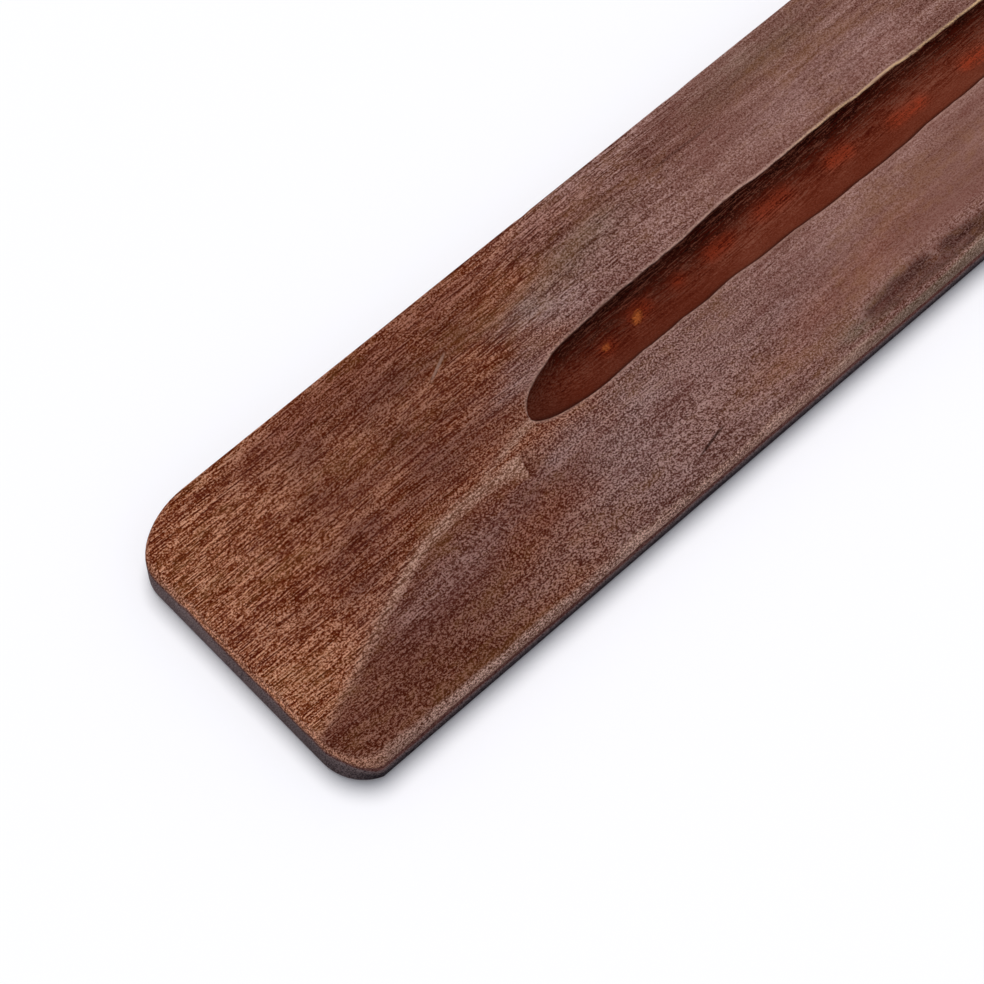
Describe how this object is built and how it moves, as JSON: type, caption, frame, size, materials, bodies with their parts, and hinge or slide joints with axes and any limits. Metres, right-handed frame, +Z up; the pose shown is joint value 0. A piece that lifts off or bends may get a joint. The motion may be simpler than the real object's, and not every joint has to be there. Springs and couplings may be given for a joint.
{
  "type": "incense stick holder",
  "caption": "Flat stained-wood ash board with a long rounded ash groove and a curled nose, whose slanting metal-lined hole holds an incense stick over the groove.",
  "frame": {"origin": "on the underside, at the middle of the overall length and width", "axes": "+X from the tail towards the curled nose, +Y to the left, +Z up"},
  "size_m": [0.254, 0.038, 0.0298],
  "materials": {
    "stained_wood": "hand sanded and stained dark brown, dull, worn paler along the edges",
    "peg_wood": "end grain of a bamboo peg, stained over, dull",
    "brass": "turned, slightly tarnished"
  },
  "bodies": {
    "root": {"ash_board": "stained_wood", "curled_nose": "stained_wood", "scarf_dowels": "peg_wood", "stick_ferrule": "brass"}
  },
  "joints": []
}
